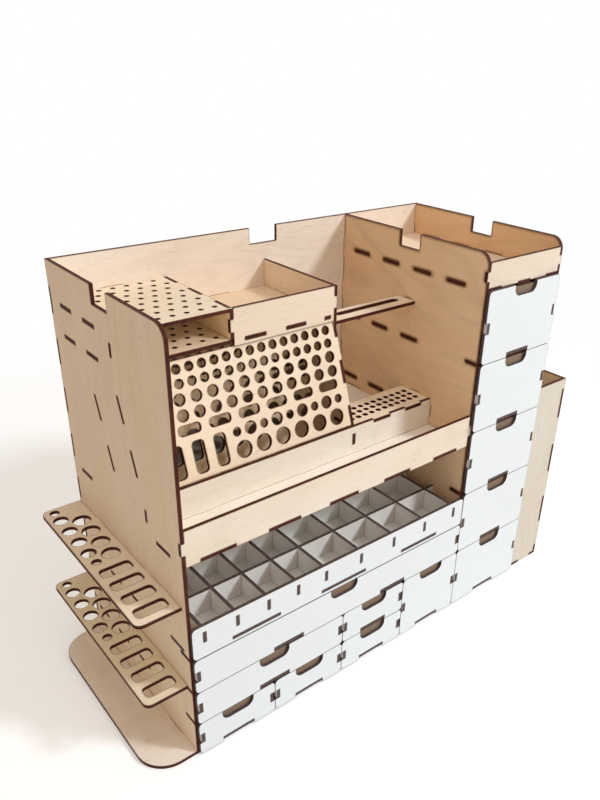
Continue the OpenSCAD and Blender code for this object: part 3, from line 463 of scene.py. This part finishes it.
    def surface(self, colour, roughness, height, relief, gloss):
        """Ends the tree with one shader and a fine relief."""
        bump = self.add("Bump", {"Height": height, "Distance": relief, "Strength": 1.0})
        shader = self.add("BsdfPrincipled", {"Base Color": colour, "Roughness": roughness,
                                             "Normal": bump.outputs[0], "Specular IOR Level": gloss})
        self.add("OutputMaterial", {"Surface": shader.outputs[0]})
        return self.owner


def stretched(tree, place, length):
    """Place squeezed along the grain, so that a pattern on it is drawn out by length."""
    return tree.vector("MULTIPLY", place, (1 / length, 1, 1))


def veneer(tree, place, wood, pale, deep, figure):
    """Face of rotary-cut birch: broad mottling, wavy figure, fine grain and short dark flecks."""
    mottle = tree.noise(stretched(tree, place, 2.5), scale=16, detail=3, roughness=0.6)
    colour = tree.mix(tree.span(mottle, 0.30, 0.70), pale, deep)
    field = tree.noise(stretched(tree, place, 4.5), scale=11, roughness=0.45, distortion=0.35)
    waves = tree.span(tree.math("SINE", tree.times(field, FIGURE_WAVES)), 0.25, 1.0)
    patches = tree.span(tree.noise(place, scale=7, detail=1), 0.35, 0.65, 0.2, 1.0)
    colour = tree.darken(colour, tree.times(waves, patches), amount=figure)
    fine = tree.span(tree.noise(stretched(tree, place, 11), scale=420, detail=3, roughness=0.6), 0.36, 0.68)
    colour = tree.darken(colour, fine, amount=0.035)
    fleck = tree.span(tree.noise(stretched(tree, place, 6), scale=900, detail=1), 0.64, 0.74)
    colour = tree.darken(colour, fleck, amount=0.07)
    speck = tree.noise(stretched(tree, place, 2.2), scale=210, detail=1, roughness=0.4)
    colour = tree.mix(tree.times(tree.span(speck, 0.745, 0.80), 0.30), colour, wood.speck)
    return colour, tree.minus(tree.times(fine, -0.6), fleck)


def burnt(tree, place, wood, pitch):
    """Laser-cut edge: brown streaks through the thickness, and the two glue lines of three plies."""
    streak = tree.noise(tree.vector("MULTIPLY", place, (1, 1, 0.12)), scale=820, detail=3, roughness=0.65)
    cloud = tree.noise(place, scale=60)
    share = tree.span(tree.math("ADD", tree.times(streak, 0.6), tree.times(cloud, 0.4)), 0.36, 0.66)
    depth = tree.split(place)["Z"]
    if pitch:
        depth = tree.math("WRAP", depth, pitch / 2, -pitch / 2)
    from_line = tree.absolute(tree.minus(tree.absolute(depth), wood.ply / 6))
    line = tree.span(from_line, 0.0, wood.ply / 12, 1.0, 0.0)
    core = tree.span(tree.absolute(depth), wood.ply / 6, wood.ply / 5, 1.0, 0.0)
    colour = tree.darken(tree.mix(share, wood.char, wood.toast), core, amount=0.22)
    return tree.darken(colour, line, amount=0.45), tree.minus(streak, line)


def slot_smoke(tree, name, wood):
    """Share of the smoke that the laser left round the rows of slots of an upright panel."""
    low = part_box(name)[0]
    parts = tree.split(tree.place)
    in_top_row = tree.over(parts["Z"], low.z + wood.top_row - wood.row_pitch / 2)
    first_slot = tree.span(in_top_row, 0.0, 1.0, low.y + wood.lower_slot, low.y + wood.top_slot)
    gaps = []
    for axis, first, pitch, half, squeeze in (
            ("Y", first_slot, 2 * wood.slot_length, wood.slot_length / 2, 1.0),
            ("Z", low.z + wood.top_row, wood.row_pitch, wood.ply / 2, SMOKE_SQUEEZE)):
        from_slot = tree.math("WRAP", tree.minus(parts[axis], first), pitch / 2, -pitch / 2)
        beyond = tree.largest(tree.minus(tree.absolute(from_slot), half), 0.0)
        gaps.append(tree.math("POWER", tree.times(beyond, squeeze), 2.0))
    away = tree.math("SQRT", tree.math("ADD", *gaps))
    reach = tree.span(tree.noise(tree.place, scale=70), 0.3, 0.7, *SMOKE_REACH)
    left = tree.largest(tree.minus(1.0, tree.math("DIVIDE", away, reach)), 0.0)
    smoke = tree.times(tree.math("POWER", left, SMOKE_FALLOFF), SMOKE_STRENGTH)
    behind_front = tree.over(parts["Y"], tree.minus(first_slot, wood.slot_length))
    return tree.times(smoke, behind_front, tree.over(parts["Z"], low.z + wood.lowest_smoke))


def plywood(name, normal, grain, middle, seed, warm=False, pitch=0.0):
    """Finish of one plywood board, or of equal boards a pitch apart. A warm panel has smoke round its slots
    and a warmer veneer, which is in part its own tone and in part painted warm bounce light of the shade it
    stands in."""
    wood = bpy.context.scene.organizer_wood
    sheet = WARM_SHEET if warm else PLAIN_SHEET
    # Partly painted shade: the warm pair also stands in for warm bounce light on these shaded panels
    pair = (wood.warm_shaded_pale, wood.warm_shaded_deep) if warm else (wood.pale_veneer, wood.deep_veneer)
    # Painted light and shade: the board's tone is shifted for the light that falls on it
    tone = PAINTED_LIGHT_TONES.get(name, (1, 1, 1))
    pale, deep = (tuple(min(part * share, BRIGHTEST_VENEER) for part, share in zip(shade, tone))
                  for shade in pair)
    tree = Tree(bpy.data.materials.new(name + "_finish"))
    offset = [step * seed for step in VENEER_STEP] + [-middle]
    place = tree.board_place(normal, grain, offset)
    colour, grain_height = veneer(tree, place, wood, pale, deep, sheet["figure"])
    stain, rim = tree.near_cut(sheet, place)
    colour = tree.mix(stain, colour, wood.scorch)
    if warm:
        colour = tree.mix(slot_smoke(tree, name, wood), colour, wood.smoke)
    colour = tree.mix(rim, colour, wood.rim)
    cut_colour, cut_height = burnt(tree, place, wood, pitch)
    face = tree.both_faces(normal)
    return tree.surface(tree.mix(face, cut_colour, colour),
                        tree.span(grain_height, -1.2, 0.2, *VENEER_ROUGHNESS),
                        tree.blend(face, cut_height, grain_height), relief=0.00010, gloss=0.18)


def hardboard(tree, white, face, place, film_colour):
    """Finish of white-faced hardboard: where white is 1 it has its satin face, where face is 1 its
    bare brown one, and elsewhere the cut edge."""
    fronts = bpy.context.scene.organizer_fronts
    soft = tree.span(tree.noise(place, scale=9, detail=3), 0.3, 0.7)
    film = tree.darken(tuple(film_colour), soft, amount=0.022)
    stain, rim = tree.near_cut(WHITE_SHEET, place)
    film = tree.mix(stain, film, bpy.context.scene.organizer_wood.scorch)
    film = tree.mix(rim, film, fronts.cut)
    fibre = tree.noise(place, scale=1300, detail=3, roughness=0.7)
    brown = tree.darken(tuple(fronts.brown), fibre, amount=0.24)
    brown = tree.darken(brown, tree.noise(place, scale=24), amount=0.20)
    streak = tree.span(tree.noise(place, scale=640, detail=3, roughness=0.65), 0.34, 0.68)
    edge = tree.mix(streak, fronts.cut, fronts.cut_light)
    peel = tree.times(tree.noise(place, scale=420, detail=1), 0.18)
    return tree.surface(tree.mix(white, tree.mix(face, edge, brown), film),
                        tree.blend(white, fronts.bare, fronts.satin),
                        tree.blend(white, fibre, peel), relief=0.00008, gloss=0.32)


def white_front(name, seed):
    """Front with its white face to the viewer, its brown face behind and burnt edges."""
    tree = Tree(bpy.data.materials.new(name + "_finish"))
    white = bpy.context.scene.organizer_fronts.white
    return hardboard(tree, tree.faces(-Y), tree.both_faces(Y), tree.seeded_place(seed), white)


def white_board(name, normal, seed):
    """Board with two white faces."""
    tree = Tree(bpy.data.materials.new(name + "_finish"))
    face = tree.both_faces(normal)
    # Painted shade: the boards inside the rack take the warmer white of their shaded cells
    white = bpy.context.scene.organizer_fronts.shaded_inner_white
    return hardboard(tree, face, face, tree.seeded_place(seed), white)


def drawer_box(name, seed):
    """Box of a drawer: white outside, brown inside, with dark ends on its fingers and tabs."""
    ply = bpy.context.scene.organizer_wood.ply
    past_board = 1.02 * ply
    fronts = bpy.context.scene.organizer_fronts
    low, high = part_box(name)
    half = (high - low) / 2
    tree = Tree(bpy.data.materials.new(name + "_finish"))
    parts = tree.split(tree.place)
    from_middle = tree.minus(parts["X"], (low + high).x / 2)
    outward = tree.times(tree.facing(X), from_middle)
    low_rim = tree.under(parts["Z"], low.z + ply)
    start = low.y + ply
    finger = (high.y - start) * fronts.finger_share
    step = tree.math("FLOOR", tree.math("DIVIDE", tree.minus(parts["Y"], start), finger))
    finger_end = tree.times(low_rim, tree.over(tree.math("PINGPONG", step, 1.0), 0.5))
    white = tree.largest(
        tree.times(tree.over(outward, half.x / 2), tree.minus(1.0, finger_end)),
        tree.times(tree.faces(-Z), low_rim),
        tree.times(tree.faces(Y), tree.over(parts["Y"], high.y - ply / 2)))
    front_wall = tree.times(
        tree.both_faces(Y), tree.under(parts["Y"], low.y + 2.5 * ply),
        tree.under(tree.absolute(from_middle), half.x - past_board),
        tree.over(parts["Z"], low.z + past_board))
    brown = tree.largest(
        tree.under(outward, -half.x / 2), front_wall,
        tree.times(tree.faces(Z), tree.under(parts["Z"], low.z + 1.5 * ply)),
        tree.times(tree.faces(-Y), tree.over(parts["Y"], high.y - 2 * ply)))
    return hardboard(tree, white, tree.largest(white, brown), tree.seeded_place(seed), fronts.white)


def floor_finish(stage):
    """Matte pale floor that keeps the shadow, and that fades into the white backdrop further out."""
    tree = Tree(bpy.data.materials.new("floor_finish"))
    seen = tree.backdrop_rays()
    matte = tree.add("BsdfDiffuse", {"Color": (*stage.floor_colour, 1)})
    lift = tree.add("Emission", {"Strength": tree.times(seen, stage.floor_lift)})
    lit = tree.add("AddShader", {0: matte.outputs[0], 1: lift.outputs[0]})
    backdrop = tree.add("Emission", {"Color": WHITE, "Strength": 1.0})
    distance = tree.vector("LENGTH", tree.place)
    far = tree.span(distance, stage.floor_clear * FADE_START, stage.floor_clear, smooth=True)
    mix = tree.add("MixShader", {0: tree.times(far, seen), 1: lit.outputs[0], 2: backdrop.outputs[0]})
    tree.add("OutputMaterial", {"Surface": mix.outputs[0]})
    return tree.owner


def new_object(name, shape):
    """Object with the mesh of a bmesh, linked to the scene."""
    mesh = bpy.data.meshes.new(name)
    shape.to_mesh(mesh)
    shape.free()
    item = bpy.data.objects.new(name, mesh)
    bpy.context.scene.collection.objects.link(item)
    return item


def closed_loop(shape, corners, round_from, radius):
    """Adds a loop of edges through the corners, with those from round_from on rounded."""
    points = [shape.verts.new(corner) for corner in corners]
    shape.faces.new(points)
    bmesh.ops.bevel(shape, geom=points[round_from:], offset=radius, segments=8, profile=0.5,
                    affect="VERTICES", material=-1)


def shelf_outline(shape, shelf, low, high, bottom, ply):
    """Outer edge of a side shelf, with its tabs in the panel and its outer corners round."""
    front, outer = low.y + shelf.front_gap, low.x - shelf.reach
    corners = [(low.x, front, bottom)]
    for place in SHELF_TABS:
        start, end = low.y + place, low.y + place + shelf.tab_length
        corners += [(low.x, start, bottom), (low.x + ply, start, bottom),
                    (low.x + ply, end, bottom), (low.x, end, bottom)]
    corners += [(low.x, high.y, bottom), (outer, high.y, bottom), (outer, front, bottom)]
    closed_loop(shape, corners, round_from=-2, radius=shelf.corner)


def shelf_openings(shape, shelf, low, bottom):
    """Windows in the front half of a side shelf, and two rows of holes behind them."""
    right = low.x - shelf.window_gap
    left = right - shelf.window_length
    for index in range(SHELF_REPEATS):
        start = low.y + shelf.first_window + index * shelf.pitch
        end = start + shelf.window_depth
        corners = [(left, start, bottom), (right, start, bottom), (right, end, bottom), (left, end, bottom)]
        closed_loop(shape, corners, round_from=0, radius=shelf.window_corner)
    bmesh.ops.delete(shape, geom=shape.faces[:], context="FACES_ONLY")
    holes = [(shelf.outer_row, place, shelf.end_hole) for place in SHELF_END_HOLES]
    for index in range(SHELF_REPEATS):
        holes.append((shelf.outer_row, FIRST_OUTER_HOLE + index * shelf.pitch, shelf.outer_hole))
        holes.append((shelf.inner_row, FIRST_INNER_HOLE + index * shelf.pitch, shelf.inner_hole))
    for out, along, width in holes:
        bmesh.ops.create_circle(shape, cap_ends=False, segments=40, radius=width / 2,
                                matrix=Matrix.Translation((low.x - out, low.y + along, bottom)))


def shelf_board(name, shelf, bottom, ply):
    """Board of a side shelf, filled between its loops of edges and raised to its thickness."""
    low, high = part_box("left_panel")
    shape = bmesh.new()
    shelf_outline(shape, shelf, low, high, bottom, ply)
    shelf_openings(shape, shelf, low, bottom)
    bmesh.ops.triangle_fill(shape, use_beauty=True, use_dissolve=False, edges=shape.edges[:], normal=Z)
    raised = bmesh.ops.extrude_face_region(shape, geom=shape.faces[:])["geom"]
    bmesh.ops.translate(shape, verts=[item for item in raised if isinstance(item, bmesh.types.BMVert)],
                        vec=Z * ply)
    bmesh.ops.recalc_face_normals(shape, faces=shape.faces[:])
    if not all(edge.is_manifold for edge in shape.edges):
        raise RuntimeError("the board of " + name + " isn't closed")
    return new_object(name + "_board", shape)


def dress(node_name, material):
    """Gives one board its finish."""
    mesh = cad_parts[node_name].data
    mesh.materials.clear()
    mesh.materials.append(material)


def plane_middle(name, normal, pitch):
    """Place of a board's middle plane along its normal, or of the lowest of several boards."""
    low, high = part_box(name)
    if pitch:
        return low.dot(normal) + bpy.context.scene.organizer_wood.ply / 2
    if name in SLOPED_BOARDS:
        places = [vertex.co.dot(normal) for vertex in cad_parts[name].data.vertices]
        return (min(places) + max(places)) / 2
    return (low.dot(normal) + high.dot(normal)) / 2


def dress_plywood(boards, first_seed, warm=False):
    """Finishes for boards given as name: (normal, grain, pitch)."""
    for seed, (name, (normal, grain, pitch)) in enumerate(boards.items(), start=first_seed):
        middle = plane_middle(name, normal, pitch)
        dress(name, plywood(name, normal, grain, middle, seed, warm, pitch))


class ORGANIZER_OT_case(bpy.types.Operator):
    """Give the upright panels, the back, the base and the shelves their veneer"""

    bl_idname = "organizer.case"
    bl_label = "Finish the Case Boards"

    def execute(self, context):
        ply = context.scene.organizer_wood.ply
        shelf_low, shelf_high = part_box("column_shelves")
        shelf_pitch = (shelf_high.z - shelf_low.z - ply) / (COLUMN_SHELVES - 1)
        partition_low, partition_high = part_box("tall_partitions")
        partition_pitch = partition_high.x - partition_low.x - ply
        dress_plywood({
            "base_plate": (Z, X, 0), "left_panel": (X, Z, 0), "back_panel": (Y, X, 0),
            "column_shelves": (Z, X, shelf_pitch), "rack_shelf": (Z, X, 0), "mid_shelf": (Z, X, 0),
            "low_shelf_left": (Z, X, 0), "low_shelf_centre": (Z, Y, 0), "small_partition": (X, Y, 0),
            "tall_partitions": (X, Y, partition_pitch)}, first_seed=1)
        dress_plywood({"divider_panel": (X, Y, 0), "right_panel": (X, Y, 0)}, first_seed=21, warm=True)
        return {"FINISHED"}


class ORGANIZER_OT_tool_tray(bpy.types.Operator):
    """Give the tool tray's floor, lip, riser and drill plate their veneer"""

    bl_idname = "organizer.tool_tray"
    bl_label = "Finish the Tool Tray"

    def execute(self, context):
        dress_plywood({"tool_floor": (Z, X, 0), "tray_lip": (Y, X, 0), "riser": (Y, X, 0),
                       "drill_plate": (Z, X, 0)}, first_seed=31)
        return {"FINISHED"}


class ORGANIZER_OT_rack(bpy.types.Operator):
    """Give the two sloped, perforated panels, their wall and the pliers rail their veneer"""

    bl_idname = "organizer.rack"
    bl_label = "Finish the Sloped Rack"

    def execute(self, context):
        slope = Y.copy()
        slope.rotate(Euler((-context.scene.organizer_wood.rack_tilt, 0, 0)))
        dress_plywood({"rack_front_panel": (slope, X, 0), "rack_rear_panel": (slope, X, 0),
                       "bay_wall": (X, Y, 0), "pliers_rail": (Z, X, 0)}, first_seed=41)
        return {"FINISHED"}


class ORGANIZER_OT_upper_tray(bpy.types.Operator):
    """Give the upper tray and its stick plate their veneer"""

    bl_idname = "organizer.upper_tray"
    bl_label = "Finish the Upper Tray"

    def execute(self, context):
        dress_plywood({"tray_board": (Z, X, 0), "stick_plate": (Z, X, 0), "tray_side_wall": (X, Y, 0),
                       "tray_front_wall": (Y, X, 0)}, first_seed=51)
        return {"FINISHED"}


class ORGANIZER_OT_top_tray(bpy.types.Operator):
    """Give the open tray on top of the drawer column its veneer"""

    bl_idname = "organizer.top_tray"
    bl_label = "Finish the Top Tray"

    def execute(self, context):
        dress_plywood({"top_tray_floor": (Z, Y, 0), "top_tray_front": (Y, X, 0)}, first_seed=61)
        return {"FINISHED"}


class ORGANIZER_OT_side_shelves(bpy.types.Operator):
    """Make the two perforated side shelves and give them their veneer"""

    bl_idname = "organizer.side_shelves"
    bl_label = "Make the Side Shelves"

    def execute(self, context):
        ply = context.scene.organizer_wood.ply
        for seed, name in enumerate(("upper_side_shelf", "lower_side_shelf"), start=71):
            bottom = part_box(name)[0].z
            board = shelf_board(name, context.scene.organizer_shelves, bottom, ply)
            board.data.materials.append(plywood(name, Z, Y, bottom + ply / 2, seed))
            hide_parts(name)
            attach(board, "case")
        return {"FINISHED"}


class ORGANIZER_OT_side_holder(bpy.types.Operator):
    """Give the pocket outside the right panel its veneer"""

    bl_idname = "organizer.side_holder"
    bl_label = "Finish the Side Holder"

    def execute(self, context):
        dress_plywood({"holder_front": (Y, Z, 0), "holder_back": (Y, Z, 0), "holder_side": (X, Z, 0)},
                      first_seed=81)
        return {"FINISHED"}


class ORGANIZER_OT_bottle_rack(bpy.types.Operator):
    """Give the white bottle rack its satin faces and dark edges"""

    bl_idname = "organizer.bottle_rack"
    bl_label = "Finish the Bottle Rack"

    def execute(self, context):
        dress("bottle_front", white_front("bottle_front", seed=91))
        boards = {"bottle_floor": Z, "bottle_rails": Y, "bottle_walls": X}
        for seed, (name, normal) in enumerate(boards.items(), start=92):
            dress(name, white_board(name, normal, seed))
        return {"FINISHED"}


class ORGANIZER_OT_drawers(bpy.types.Operator):
    """Give every drawer its white front and its brown-lined box"""

    bl_idname = "organizer.drawers"
    bl_label = "Finish the Drawers"

    def execute(self, context):
        names = sorted(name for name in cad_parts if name.endswith("_box"))
        if not names:
            raise RuntimeError("the frame has no drawer boxes")
        for seed, name in enumerate(names, start=101):
            front = name.removesuffix("_box") + "_front"
            dress(front, white_front(front, seed))
            dress(name, drawer_box(name, seed + len(names)))
        return {"FINISHED"}


class ORGANIZER_OT_stage(bpy.types.Operator):
    """Set up the floor, the room light, the lamps and the camera"""

    bl_idname = "organizer.stage"
    bl_label = "Set Up the Stage"

    def execute(self, context):
        stage = context.scene.organizer_stage
        self.make_camera(context, stage)
        self.make_floor(stage)
        self.make_world(context, stage)
        for name, (place, size, colour) in LAMPS.items():
            self.make_lamp(context, name + "_lamp", place, size, getattr(stage, name + "_power"), colour)
        context.scene.view_settings.view_transform = "Standard"
        return {"FINISHED"}

    def make_camera(self, context, stage):
        camera = bpy.data.objects.new("camera", bpy.data.cameras.new("camera"))
        context.scene.collection.objects.link(camera)
        camera.location = stage.camera_place
        camera.rotation_euler = stage.camera_turn
        camera.data.lens = stage.camera_lens
        camera.data.sensor_width = 36
        camera.data.shift_x, camera.data.shift_y = stage.camera_shift
        camera.data.clip_start = 0.01
        context.scene.camera = camera

    def make_floor(self, stage):
        shape = bmesh.new()
        bmesh.ops.create_grid(shape, x_segments=1, y_segments=1, size=stage.floor_size / 2)
        bmesh.ops.translate(shape, verts=shape.verts, vec=Z * (CAD_BOX[0][2] - FLOOR_DROP))
        floor = new_object("floor", shape)
        floor.data.materials.append(floor_finish(stage))

    def make_world(self, context, stage):
        world = bpy.data.worlds.new("room")
        tree = Tree(world)
        room = tree.add("Background", {"Color": (*stage.sky, 1)})
        backdrop = tree.add("Background", {"Color": WHITE})
        mix = tree.add("MixShader", {0: tree.backdrop_rays(), 1: room.outputs[0], 2: backdrop.outputs[0]})
        tree.add("OutputWorld", {"Surface": mix.outputs[0]})
        context.scene.world = world

    def make_lamp(self, context, name, place, size, power, colour):
        lamp = bpy.data.objects.new(name, bpy.data.lights.new(name, "AREA"))
        lamp.data.shape = "DISK"
        lamp.data.size = size
        lamp.data.energy = power
        lamp.data.color = colour
        lamp.location = place
        middle = (Vector(CAD_BOX[0]) + Vector(CAD_BOX[1])) / 2
        lamp.rotation_euler = (middle - place).to_track_quat("-Z", "Y").to_euler()
        context.scene.collection.objects.link(lamp)


STEPS = (
    ORGANIZER_OT_stage, ORGANIZER_OT_case, ORGANIZER_OT_tool_tray, ORGANIZER_OT_rack,
    ORGANIZER_OT_upper_tray, ORGANIZER_OT_top_tray, ORGANIZER_OT_side_shelves,
    ORGANIZER_OT_side_holder, ORGANIZER_OT_bottle_rack, ORGANIZER_OT_drawers)


class ORGANIZER_PT_looks(bpy.types.Panel):
    """Settings and steps of the organizer's looks"""

    bl_idname = "ORGANIZER_PT_looks"
    bl_label = "Organizer Looks"
    bl_space_type = "VIEW_3D"
    bl_region_type = "UI"
    bl_category = "Organizer"

    def draw(self, context):
        scene = context.scene
        for settings in (scene.organizer_wood, scene.organizer_fronts, scene.organizer_shelves,
                         scene.organizer_stage):
            box = self.layout.box()
            for name in settings.bl_rna.properties.keys():
                if name not in ("rna_type", "name"):
                    box.prop(settings, name)
        for step in STEPS:
            self.layout.operator(step.bl_idname)


CLASSES = (WoodSettings, FrontSettings, ShelfSettings, StageSettings, *STEPS, ORGANIZER_PT_looks)


def register():
    for item in CLASSES:
        bpy.utils.register_class(item)
    bpy.types.Scene.organizer_wood = PointerProperty(type=WoodSettings)
    bpy.types.Scene.organizer_fronts = PointerProperty(type=FrontSettings)
    bpy.types.Scene.organizer_shelves = PointerProperty(type=ShelfSettings)
    bpy.types.Scene.organizer_stage = PointerProperty(type=StageSettings)


def unregister():
    del bpy.types.Scene.organizer_stage
    del bpy.types.Scene.organizer_shelves
    del bpy.types.Scene.organizer_fronts
    del bpy.types.Scene.organizer_wood
    for item in reversed(CLASSES):
        bpy.utils.unregister_class(item)


def main():
    register()
    for step in STEPS:
        group, action = step.bl_idname.split(".")
        getattr(getattr(bpy.ops, group), action)()


if __name__ == "__main__":
    main()
